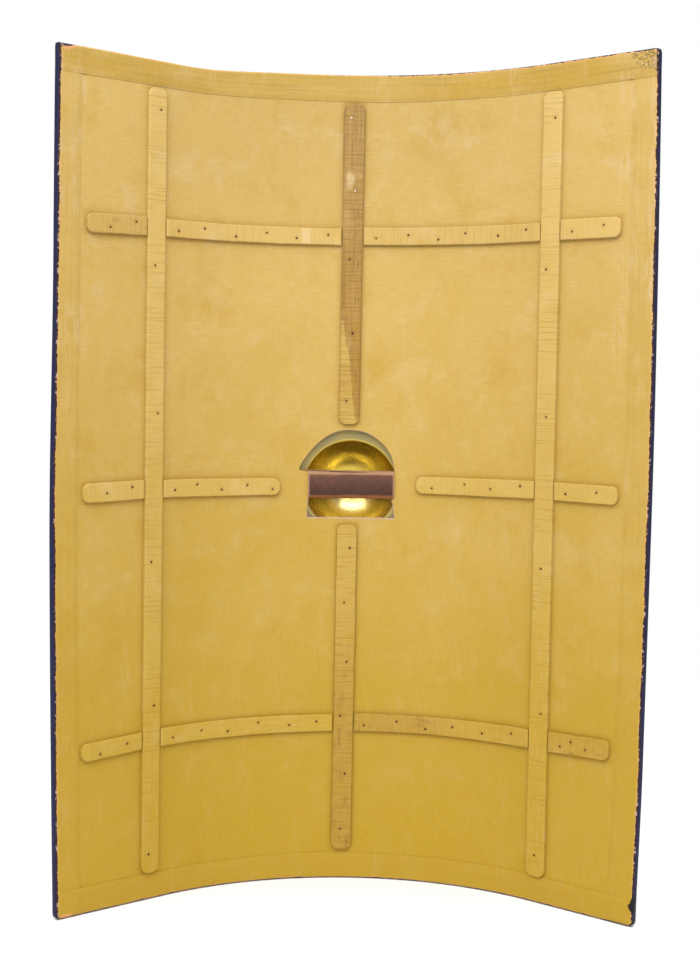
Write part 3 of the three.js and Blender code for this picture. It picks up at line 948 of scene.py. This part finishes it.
def cloth_strip(name, side, top, worn_at, hem_extra):
    """One strip, folded over a side edge (side is -1 or 1) or over a rim (side is 0)."""
    section = fold_section()
    upright = side != 0
    steps = 260 if upright else 220
    reach = edge_at(0) - 0.0002
    ring_places, kept, corner = [], [], []
    for share in evenly(0, 1, steps):
        ring = []
        for inward, depth, across in section:
            inner = depth < BOARD / 2
            hem = smooth(inward, 0.012, HEM)
            if upright:
                tucked = 0.0022 * smooth(inward, 0.0008, 0.0012)
                level = tucked + share * (HEIGHT - 2 * tucked)
                run = level
                strays = 0.001 * wander(21 + side, level * 9) + hem_extra(level)
                inward_now = inward + hem * strays
                station = side * (edge_at(level) - inward_now)
                out = 0.0
            else:
                station = -reach + 2 * reach * share
                run = station + reach
                strays = 0.0014 * wander(31 + top, station * 9) + hem_extra(station)
                inward_now = inward + hem * strays
                level = HEIGHT - COVER - inward_now if top else COVER + inward_now
                out = CLOTH * 1.06 * smooth(abs(station), reach - HEM - 0.006, reach - HEM + 0.001)
                out *= smooth(inward, -0.0002, 0.002)
            raised = ridge(inward_now, 0.0185 + 0.002 * wander(5, run * 8), 0.0009, 0.0003)
            if top:
                raised += ridge(inward_now, 0.012 + 0.002 * wander(6, run * 7), 0.0008, 0.0002)
            buckle = 0.00018 * wander(41 + 3 * side + top, run * 30, across * 60)
            out += (buckle + raised) * smooth(inward, 0.001, 0.006) * (1 - hem_edge(inward))
            out -= HEM_PRESSED * hem_edge(inward)
            ring.append(Vector((station, depth - out if inner else depth + out, level)))
            worn = worn_at(run)
            from_side = edge_at(level) - abs(station)
            side_worn = left_wear(level) if station < 0 else right_wear(level)
            if not upright and inner and HEM - from_side + side_worn > across + worn:
                across, worn = HEM - from_side, side_worn
            kept.append((run, across, worn))
            corner.append(corner_marks(station, level))
        ring_places.append(ring)
    points, faces = rings(ring_places, False, False, False)
    mesh = mesh_of(name, points, faces)
    keep(mesh, "cloth", kept)
    keep(mesh, "corner", corner)
    piece = add(name + "_cloth", mesh)
    full = piece.vertex_groups.new(name="full")
    for index, (inward, _, _) in enumerate(section * len(ring_places)):
        full.add([index], 1 - hem_edge(inward), "REPLACE")
    thick = piece.modifiers.new("cloth", "SOLIDIFY")
    thick.thickness = CLOTH
    thick.offset = 0
    thick.vertex_group = "full"
    thick.thickness_vertex_group = HEM_THINNED
    settled(piece)
    for vertex in piece.data.vertices:
        vertex.co.x, vertex.co.z = trimmed(vertex.co.x, vertex.co.z)
    bent(piece)
    smoothed(piece, math.radians(60))
    length = HEIGHT if upright else 2 * reach
    ready(piece, [name], [CLOTH_FINISH])


def corner_marks(station, level):
    """How bare, smeared and cracked the paint is near each corner of the rim."""
    from_side = edge_at(level) - abs(station)
    from_top, from_bottom = HEIGHT - level, level
    bare = smeared = cracked = 0.0
    if station < 0:
        at_top = 1 - smooth(from_top + 0.35 * max(from_side - 0.008, 0), 0.0065, 0.0105)
        at_top *= smooth(from_side, 0.004, 0.007) * (1 - smooth(from_side, 0.020, 0.025))
        at_bottom = 1 - smooth(from_bottom, 0.0042, 0.0064)
        at_bottom *= smooth(from_side, 0.003, 0.006) * (1 - smooth(from_side, 0.015, 0.026))
        bare = max(at_top, at_bottom)
    else:
        cracked = 1 - smooth(math.hypot(from_side * 0.8, from_top), 0.018, 0.034)
        smeared = 1 - smooth(math.hypot(from_side, (from_bottom - 0.026) * 0.55), 0.0035, 0.0062)
        along_rim = (1 - smooth(from_bottom, 0.0010, 0.0022)) * (1 - smooth(from_side, 0.03, 0.05))
        smeared = max(smeared, along_rim)
    return bare, smeared, cracked


# ---------------------------------------------------------------- battens


class Upright:
    """A straight batten from bottom to top, leaning from station foot to station head."""

    def __init__(self, bottom, top, foot, head, width):
        self.first, self.last, self.width = bottom, top, width
        self.foot, self.head = foot, head
        self.round_first = self.round_last = True
        self.upright = True

    def middle(self, level):
        share = (level - self.first) / (self.last - self.first)
        return self.foot + (self.head - self.foot) * share

    def flat(self, along, across, depth):
        return Vector((self.middle(along) + across, depth, along))


class Level:
    """A batten along the curve, from level start at its left to level end at its right."""

    def __init__(self, first, last, start, end, width, round_first=False, round_last=False):
        self.first, self.last, self.width = first, last, width
        self.start, self.end = start, end
        self.round_first, self.round_last = round_first, round_last
        self.upright = False

    def middle(self, station):
        share = (station - self.first) / (self.last - self.first)
        return self.start + (self.end - self.start) * share

    def flat(self, along, across, depth):
        return Vector((along, depth, self.middle(along) + across))


LEFT = Upright(0.034, 1.003, -0.274, -0.266, 0.025)
RIGHT = Upright(0.034, 1.005, 0.264, 0.266, 0.027)
CENTRE_LOWER = Upright(0.039, 0.467, -0.007, -0.004, 0.026)
CENTRE_UPPER = Upright(0.597, 1.004, -0.003, -0.001, 0.026)


def beside(upright, level, side):
    """Where a level batten stops beside an upright."""
    return upright.middle(level) + side * (upright.width / 2 + BUTT_GAP)


def outer_left(end_station, start, end, width):
    return Level(end_station, beside(LEFT, end, -1), start, end, width, round_first=True)


def outer_right(end_station, start, end, width):
    return Level(beside(RIGHT, start, 1), end_station, start, end, width, round_last=True)


BATTENS = {
    "batten_left": LEFT,
    "batten_right": RIGHT,
    "batten_centre_lower": CENTRE_LOWER,
    "batten_centre_upper": CENTRE_UPPER,
    "batten_top_left_outer": outer_left(-0.366, 0.834, 0.836, 0.023),
    "batten_top_left_inner": Level(
        beside(LEFT, 0.836, 1), beside(CENTRE_UPPER, 0.836, -1), 0.836, 0.836, 0.021),
    "batten_top_right_inner": Level(
        beside(CENTRE_UPPER, 0.837, 1), beside(RIGHT, 0.837, -1), 0.837, 0.837, 0.022),
    "batten_top_right_outer": outer_right(0.365, 0.838, 0.837, 0.024),
    "batten_middle_left_outer": outer_left(-0.371, 0.513, 0.516, 0.023),
    "batten_middle_left_inner": Level(
        beside(LEFT, 0.516, 1), -0.093, 0.516, 0.516, 0.022, round_last=True),
    "batten_middle_right_inner": Level(
        0.086, beside(RIGHT, 0.520, -1), 0.520, 0.520, 0.022, round_first=True),
    "batten_middle_right_outer": outer_right(0.370, 0.520, 0.519, 0.022),
    "batten_bottom_left_outer": outer_left(-0.373, 0.198, 0.203, 0.021),
    "batten_bottom_left_inner": Level(
        beside(LEFT, 0.204, 1), beside(CENTRE_LOWER, 0.207, -1), 0.204, 0.207, 0.022),
    "batten_bottom_right_inner": Level(
        beside(CENTRE_LOWER, 0.208, 1), beside(RIGHT, 0.207, -1), 0.208, 0.207, 0.023),
    "batten_bottom_right_outer": outer_right(0.367, 0.208, 0.210, 0.025),
}

# How many nails hold each batten, and how far the first and last are from its ends.
NAILS = {
    "batten_left": (6, 0.024, 0.026),
    "batten_right": (6, 0.027, 0.032),
    "batten_centre_lower": (6, 0.027, 0.030),
    "batten_centre_upper": (5, 0.030, 0.018),
    "batten_top_left_outer": (2, 0.032, 0.016),
    "batten_top_left_inner": (6, 0.018, 0.017),
    "batten_top_right_inner": (6, 0.016, 0.020),
    "batten_top_right_outer": (2, 0.017, 0.023),
    "batten_middle_left_outer": (2, 0.033, 0.018),
    "batten_middle_left_inner": (5, 0.017, 0.010),
    "batten_middle_right_inner": (4, 0.021, 0.020),
    "batten_middle_right_outer": (2, 0.017, 0.029),
    "batten_bottom_left_outer": (2, 0.026, 0.022),
    "batten_bottom_left_inner": (6, 0.018, 0.021),
    "batten_bottom_right_inner": (6, 0.013, 0.025),
    "batten_bottom_right_outer": (3, 0.018, 0.033),
}


def nail_spots(name, batten):
    """(along, across) of each nail: evenly spread, struck a little to one side or the other."""
    draw = random.Random("nails of " + name)
    count, first_inset, last_inset = NAILS[name]
    spots = []
    first, last = batten.first + first_inset, batten.last - last_inset
    for i, along in enumerate(evenly(first, last, count - 1)):
        lean = (1 if i % 2 else -1) * draw.uniform(0.001, 0.0045)
        inner = 0 < i < count - 1
        spots.append((along + (draw.uniform(-0.004, 0.004) if inner else 0.0), lean))
    return spots


def hand_sawn(seed, along):
    """How far a sawn edge strays."""
    return 0.0005 * wander(seed, along * 14) + 0.0002 * wander(seed + 1, along * 90)


def rounded_end(end, towards):
    """(along, how far drawn in) round an end; the batten lies towards it, 1 or -1."""
    return [
        (end + towards * BATTEN_END * (1 - math.cos(turn)), BATTEN_END * (1 - math.sin(turn)))
        for turn in evenly(0.05, math.pi / 2, 9)
    ]


def batten_piece(name, batten, soiling, finish):
    """A strip of sawn wood with eased arrises, bent to the board."""
    draw = random.Random(name)
    seed = draw.uniform(0, 50)
    nails = nail_spots(name, batten)
    eased = 0.0009
    step = 0.0018
    half = batten.width / 2
    arris = [(eased * (1 - math.cos(a)), eased * (1 - math.sin(a))) for a in (0.55, 1.1)]

    alongs = rounded_end(batten.first, 1) if batten.round_first else [(batten.first, 0.0)]
    ends = rounded_end(batten.last, -1)[::-1] if batten.round_last else [(batten.last, 0.0)]
    run = ends[0][0] - alongs[-1][0]
    middle = evenly(alongs[-1][0], ends[0][0], max(2, round(run / step)))[1:-1]
    alongs += [(along, 0.0) for along in middle] + ends

    ring_places, kept, marks = [], [], []
    for i, (along, draw_in) in enumerate(alongs):
        at_end = i == 0 or i == len(alongs) - 1
        low = -half + draw_in + hand_sawn(seed, along)
        high = half - draw_in + hand_sawn(seed + 2, along)
        top = -GAP - BATTEN + 0.00015 * wander(seed + 4, along * 25)
        if at_end:
            top += eased
        section = [(low, -GAP), (low, top + eased)]
        section += [(low + across, top + depth) for across, depth in arris]
        section += [(across, top) for across in evenly(low + eased, high - eased, 13)]
        section += [(high - across, top + depth) for across, depth in reversed(arris)]
        section += [(high, top + eased), (high, -GAP)]
        ring = []
        for across, depth in section:
            near = min(math.hypot(along - spot[0], across - spot[1]) for spot in nails)
            if depth < -GAP - BATTEN / 2:
                depth += 0.0005 * math.exp(-(near / 0.0022) ** 2)
            ring.append(batten.flat(along, across, depth))
            kept.append((along + seed, across, depth))
            marks.append((math.exp(-(near / 0.0021) ** 2), *soiling(along, across)))
        ring_places.append(ring)
    points, faces = rings(ring_places, True, True, True)
    mesh = mesh_of(name, points, faces)
    keep(mesh, "grain", kept)
    keep(mesh, "marks", marks)
    piece = add(name + "_wood", mesh)
    bent(piece)
    smoothed(piece, math.radians(50))
    ready(piece, [name], [finish])


def batten_nails():
    """All the small cut nails, one piece: low square-shouldered heads, a little sunk."""
    points, faces, dabs = [], [], []
    top = -GAP - BATTEN + 0.0001
    for name, batten in BATTENS.items():
        draw = random.Random("heads of " + name)
        spots = nail_spots(name, batten)
        for index, (along, across) in enumerate(spots):
            radius = draw.uniform(0.0011, 0.0015)
            turn = draw.uniform(0, math.pi)
            layers = []
            for share, depth in ((1.0, 0.0009), (1.0, 0.0), (0.8, -0.00022), (0.35, -0.0003)):
                layer = []
                for angle in circle(10):
                    reach = radius * share * (1 - 0.1 * math.cos(4 * angle))
                    layer.append(batten.flat(
                        along + reach * math.cos(turn + angle),
                        across + reach * math.sin(turn + angle),
                        top + depth,
                    ))
                layers.append(layer)
            head, head_faces = rings(layers, True, True, True)
            faces += [tuple(len(points) + i for i in face) for face in head_faces]
            points += head
            dabbed = name == "batten_centre_upper" and index >= len(spots) - 2
            dabs += [dabbed] * len(head_faces)
    mesh = mesh_of("batten_nails", points, faces)
    for face, dabbed in zip(mesh.polygons, dabs):
        face.material_index = 1 if dabbed else 0
    piece = add("batten_nails", mesh)
    bent(piece)
    smoothed(piece, math.radians(50))
    ready(piece, [], [iron(), white_paint_dab()])


# ---------------------------------------------------------------- grip

# Where the wrap passes from over the board to round the strip.
WRAP_LEFT, WRAP_RIGHT = -0.052, 0.05


def grip_outline(pinch):
    """The wrap's section, (depth, level) round its soft edges, drawn in by the pinch."""
    radius = GRIP_EDGE - pinch
    inner, outer = GRIP_INNER + pinch + radius, GRIP_OUTER - pinch - radius
    bottom, top = GRIP_BOTTOM + pinch + radius, GRIP_TOP - pinch - radius
    corners = [
        (inner, bottom, math.pi), (inner, top, math.pi / 2),
        (outer, top, 0.0), (outer, bottom, -math.pi / 2),
    ]
    ring = []
    for i, (depth, level, start) in enumerate(corners):
        for angle in evenly(start + math.pi / 2, start, 7):
            ring.append((depth + radius * math.cos(angle), level + radius * math.sin(angle)))
        after = corners[(i + 1) % 4]
        last = Vector(ring[-1])
        first = Vector((
            after[0] + radius * math.cos(after[2] + math.pi / 2),
            after[1] + radius * math.sin(after[2] + math.pi / 2),
        ))
        ring += [tuple(last.lerp(first, share)) for share in evenly(0, 1, 8)[1:-1]]
    return ring


def space(name, stations, depths, levels):
    """A block of space to cut away, flat."""
    points = [(s, d, l) for s in stations for d in depths for l in levels]
    faces = [(0, 1, 3, 2), (4, 6, 7, 5), (0, 4, 5, 1), (2, 3, 7, 6), (0, 2, 6, 4), (1, 5, 7, 3)]
    return add(name, mesh_of(name, points, faces))


def grip_piece():
    """Leather wrapped round the strip, soft at its edges and cut square at its ends."""
    centre = Vector(((GRIP_INNER + GRIP_OUTER) / 2, (GRIP_BOTTOM + GRIP_TOP) / 2))
    ring_places = []
    for station in evenly(GRIP_LEFT, GRIP_RIGHT, 70):
        from_end = min(station - GRIP_LEFT, GRIP_RIGHT - station)
        ring = []
        for depth, level in grip_outline(0.0008 * (1 - smooth(from_end, 0.0, 0.0012))):
            lump = 0.0005 * wander(51, station * 60, level * 70)
            lump += 0.0003 * wander(52, station * 160, depth * 160)
            out = (Vector((depth, level)) - centre).normalized() * (lump - 0.0003)
            ring.append((station, depth + out.x, level + out.y))
        ring_places.append(ring)
    piece = add("grip_wrap", mesh_of("grip_wrap", *rings(ring_places, True, True, True)))
    beyond = 0.2
    above_and_below = (0.4, 0.6)
    cut_away(
        piece,
        space(
            "strip_space", (-beyond, beyond), (-GAP, BOARD + GAP),
            (STRIP_BOTTOM - GAP, STRIP_TOP + GAP),
        ),
        space("board_right", (WRAP_RIGHT, beyond), (-GAP, 0.1), above_and_below),
        space("board_left", (-beyond, WRAP_LEFT), (-GAP, 0.1), above_and_below),
    )
    rubbed_and_lit = []
    for vertex in piece.data.vertices:
        station, depth, level = vertex.co
        inner = 1 - smooth(depth, 0.002, 0.006)
        edge = 0.0012 * wander(53, station * 50)
        # Where the painted highlight (upper) and the painted reflection of the brass (lower) lie on
        # the leather.
        upper = smooth(level, GRIP_TOP - 0.0062 + edge, GRIP_TOP - 0.0042 + edge)
        lower = 1 - smooth(level, GRIP_BOTTOM + 0.0036 + edge, GRIP_BOTTOM + 0.0058 + edge)
        from_end = min(station - GRIP_LEFT, GRIP_RIGHT - station)
        rubbed_and_lit.append((upper * inner, lower * inner, 1 - smooth(from_end, 0.0007, 0.0016)))
    keep(piece.data, "rubbed_and_lit", rubbed_and_lit)
    bent(piece)
    smoothed(piece, math.radians(45))
    ready(piece, ["grip_leather"], [leather()])


# ---------------------------------------------------------------- boss

AROUND = 144
LIP = 0.0035
PLATE_CORNER = 0.012
PLATE_RADIUS = CURVE_RADIUS + PLATE_DEPTH
NAIL_SHANK = 0.0016
NAIL_HEAD = 0.007
NAIL_CROWN = 0.0037


def plate_y(x):
    """How far back the plate lies."""
    return math.sqrt(PLATE_RADIUS ** 2 - x ** 2) - CURVE_RADIUS + ORIGIN_SHIFT


def plate_edge(angle):
    """Where the plate's rounded rectangle stands in a direction, as station and level."""
    run, rise = math.cos(angle), math.sin(angle)
    half_width, half_height = PLATE_WIDTH / 2 - PLATE_CORNER, PLATE_HEIGHT / 2 - PLATE_CORNER
    reach = min(
        (half_width + PLATE_CORNER) / max(abs(run), 1e-9),
        (half_height + PLATE_CORNER) / max(abs(rise), 1e-9),
    )
    x, z = run * reach, rise * reach
    over_x, over_z = abs(x) - half_width, abs(z) - half_height
    if over_x > 0 and over_z > 0:
        share = min(PLATE_CORNER / math.hypot(over_x, over_z), 1.0)
        x = math.copysign(half_width + over_x * share, x)
        z = math.copysign(half_height + over_z * share, z)
    return x, z


def plate_ring(share):
    """Round the plate, from its edge at share 0 to the lip at 1."""
    ring = []
    for angle in circle(AROUND):
        far = plate_edge(angle)
        near = ((MOUTH + LIP) * math.cos(angle), (MOUTH + LIP) * math.sin(angle))
        x = far[0] + (near[0] - far[0]) * share
        z = far[1] + (near[1] - far[1]) * share
        lift = 0.0003 * wander(61, x * 40, z * 40) * smooth(share, 0, 0.2)
        x = PLATE_RADIUS * math.sin(x / PLATE_RADIUS) if share < 1 else near[0]
        ring.append(Vector((x, plate_y(x) + max(lift, 0.0), BOSS_LEVEL + z)))
    return ring


def boss_piece():
    """A dome drawn up from a flat plate, with an eased lip where they meet."""
    quarter = math.pi / 2
    centre_y = PLATE_DEPTH + ORIGIN_SHIFT
    ring_places = [plate_ring(share) for share in evenly(0, 1, 14)]
    dull = [1.0] * len(ring_places)
    for turn in evenly(0, quarter, 5)[1:]:
        reach = MOUTH + LIP * (1 - math.sin(turn))
        ring_places.append([
            Vector((
                reach * math.cos(angle),
                plate_y((MOUTH + LIP) * math.cos(angle)) + LIP * (1 - math.cos(turn)),
                BOSS_LEVEL + reach * math.sin(angle),
            ))
            for angle in circle(AROUND)
        ])
        dull.append(0.6 - 0.6 * turn / quarter)
    for turn in evenly(0.06, quarter, 30)[:-1]:
        ring = []
        for angle in circle(AROUND):
            reach = MOUTH * math.cos(turn) + 0.0002 * wander(62, angle * 3, turn * 6)
            ring.append(Vector((
                reach * math.cos(angle), centre_y + DOME * math.sin(turn),
                BOSS_LEVEL + reach * math.sin(angle),
            )))
        ring_places.append(ring)
        dull.append(0.0)
    points, faces = rings(ring_places, True, False, False)
    tip(points, faces, Vector((0, centre_y + DOME, BOSS_LEVEL)), AROUND)
    mesh = mesh_of("boss", points, faces)
    if sum(face.normal.y * face.area for face in mesh.polygons) < 0:
        mesh.flip_normals()
    keep(mesh, "dulled", [value for value in dull for _ in range(AROUND)] + [0.0])
    piece = add("boss_brass", mesh)
    thick = piece.modifiers.new("sheet", "SOLIDIFY")
    thick.thickness = SHEET
    thick.offset = 1
    thick.use_even_offset = True
    settled(piece)
    keep_places(piece.data)
    smoothed(piece, math.radians(40))
    ready(piece, ["boss"], [BRASS_FINISH])


def boss_nail(name, station, level):
    """A dome-headed brass nail through a corner of the plate."""
    seat = PLATE_FRONT + GAP
    crown = seat + 0.0003
    profile = [
        (0.0012, 0.0022), (NAIL_SHANK, 0.003), (NAIL_SHANK, seat),
        (NAIL_HEAD - 0.0004, seat), (NAIL_HEAD, crown),
    ]
    for turn in evenly(0.15, math.pi / 2, 9)[:-1]:
        profile.append((NAIL_HEAD * math.cos(turn), crown + NAIL_CROWN * math.sin(turn)))
    sides = 40
    points, faces = rings([
        [Vector((reach * math.cos(a), depth, reach * math.sin(a))) for a in circle(sides)]
        for reach, depth in profile
    ], True, True, False)
    tip(points, faces, Vector((0, crown + NAIL_CROWN, 0)), sides)
    turn = Matrix.Rotation(-bend_at(station), 4, "Z")
    base = point_at(station, 0, level)
    mesh = mesh_of(name, [base + turn @ point for point in points], faces)
    piece = add(name + "_brass", mesh)
    keep_places(mesh)
    keep(mesh, "dulled", [0.25] * len(mesh.vertices))
    smoothed(piece, math.radians(40))
    ready(piece, [name], [BRASS_FINISH])


# ---------------------------------------------------------------- the pieces

CLOTH_FINISH = binding_cloth()
BRASS_FINISH = brass()

board_piece()
cloth_strip("binding_left", -1, False, left_wear, straight)
cloth_strip("binding_right", 1, False, right_wear, widened_foot)
cloth_strip("binding_top", 0, True, top_wear, straight)
cloth_strip("binding_bottom", 0, False, bottom_wear, straight)


def soiled_evenly(amount):
    """The same soiling all over a batten."""
    return lambda along, across: (amount, 0.0)


def worn_down(along, across):
    """Bare wood above a slanting line, and one patch of old cream paint."""
    slant = 0.738 - 0.03 * smooth(across, -0.013, -0.004) - 0.10 * smooth(across, -0.005, 0.009)
    patch = 1 - smooth(math.hypot((along - 0.907) * 0.5, across + 0.004), 0.0, 0.013)
    return smooth(along, slant - 0.03, slant + 0.03), patch


def darker_low_down(along, across):
    # Darker towards the bottom of the batten.
    return 0.32 * (1 - smooth(along, 0.2, 0.4)) + 0.16, 0.0


def smudged_start(along, across):
    return 0.3 * (1 - smooth(along, 0.1, 0.16)) + 0.12, 0.0


def cream_patch(along, across):
    off = max(abs(along + 0.062) - 0.005, abs(across) - 0.009)
    return 0.05, 1 - smooth(off, 0.0, 0.0012)


SOILED = {
    "batten_centre_upper": worn_down,
    "batten_centre_lower": darker_low_down,
    "batten_top_left_inner": cream_patch,
    "batten_top_left_outer": soiled_evenly(0.3),
    "batten_top_right_inner": soiled_evenly(0.16),
    "batten_bottom_right_inner": smudged_start,
    "batten_bottom_right_outer": soiled_evenly(0.3),
}
UPRIGHT_PAINT = painted_wood("upright_batten_paint", 0.28)
LEVEL_PAINT = painted_wood("level_batten_paint", 0.12)
WORN = bare_wood()
for batten_name, batten in BATTENS.items():
    worn = batten_name == "batten_centre_upper"
    paint = UPRIGHT_PAINT if batten.upright else LEVEL_PAINT
    batten_piece(
        batten_name, batten, SOILED.get(batten_name, soiled_evenly(0.0)),
        WORN if worn else paint,
    )
batten_nails()
grip_piece()
boss_piece()
corners = [(-1, -1), (1, -1), (1, 1), (-1, 1)]
for number, (side, end) in enumerate(corners):
    boss_nail(
        f"boss_nail_{number + 1}",
        side * (PLATE_WIDTH / 2 - BOSS_NAIL_INSET),
        BOSS_LEVEL + end * (PLATE_HEIGHT / 2 - BOSS_NAIL_INSET),
    )

# ---------------------------------------------------------------- the studio


def studio_floor():
    """A pale floor that thins out into the white surround."""
    finish = Finish("studio_floor")
    place = finish.node("TexCoord", {}, {}, "Object")
    away = finish.node("VectorMath", {"operation": "LENGTH"}, {0: place}, "Value")
    base = finish.mix(finish.cloud(place, 3.0), FLOOR, FLOOR_PALE)
    pale = finish.node("BsdfPrincipled", {}, {
        "Base Color": base, "Roughness": 0.9, "Specular IOR Level": 0.1,
    })
    clear = finish.node("BsdfTransparent", {}, {})
    laid = finish.node("MixShader", {}, {0: finish.ramp(away, 0.9, 1.9), 1: pale, 2: clear})
    finish.node("OutputMaterial", {}, {"Surface": laid})
    reach = 2.0
    corners = [(-reach, -reach, 0), (reach, -reach, 0), (reach, reach, 0), (-reach, reach, 0)]
    mesh = mesh_of("floor", corners, [(0, 1, 2, 3)])
    floor = add("floor", mesh)
    floor.location.z = -0.0012
    mesh.materials.append(finish.made)


def softbox(name, place, aim, width, height, power):
    light = bpy.data.lights.new(name, "AREA")
    light.shape = "RECTANGLE"
    light.size, light.size_y = width, height
    light.energy = power
    lamp = bpy.data.objects.new(name, light)
    lamp.location = place
    lamp.rotation_euler = (Vector(aim) - Vector(place)).to_track_quat("-Z", "Y").to_euler()
    bpy.context.scene.collection.objects.link(lamp)


def white_surround(strength):
    """White where it is seen straight on, and softer where it only lights the shield."""
    finish = Finish("surround", "worlds")
    seen = finish.node("LightPath", {}, {})
    lit = finish.node("Background", {}, {
        "Color": (1, 1, 1, 1), "Strength": seen * (1 - strength) + strength,
    })
    finish.node("OutputWorld", {}, {"Surface": lit})
    bpy.context.scene.world = finish.made


studio_floor()
softbox("window", (-0.3, -2.4, 2.8), (0, 0, 0.5), 3.2, 1.8, 118)
softbox("overhead", (0.0, 0.3, 3.2), (0, 0, 0.0), 3.0, 3.0, 55)
white_surround(0.66)

# ---------------------------------------------------------------- camera

CAMERA_PLACE = Vector((-0.0023, -2.0075, 0.6366))
YAW, PITCH, ROLL = math.radians(0.055), math.radians(-4.327), math.radians(0.764)

forward = Vector((
    math.sin(YAW) * math.cos(PITCH), math.cos(YAW) * math.cos(PITCH), math.sin(PITCH),
))
right = Vector((math.cos(YAW), -math.sin(YAW), 0.0))
up = right.cross(forward)
rolled_right = right * math.cos(ROLL) + up * math.sin(ROLL)
rolled_up = up * math.cos(ROLL) - right * math.sin(ROLL)
lens = bpy.data.cameras.new("camera")
lens.sensor_width = 36.0
lens.lens = 58.78
lens.shift_y = 0.02505
camera = bpy.data.objects.new("camera", lens)
camera.matrix_world = Matrix((
    (rolled_right.x, rolled_up.x, -forward.x, CAMERA_PLACE.x),
    (rolled_right.y, rolled_up.y, -forward.y, CAMERA_PLACE.y),
    (rolled_right.z, rolled_up.z, -forward.z, CAMERA_PLACE.z),
    (0, 0, 0, 1),
))
bpy.context.scene.collection.objects.link(camera)
bpy.context.scene.camera = camera
bpy.context.scene.view_settings.view_transform = "Standard"
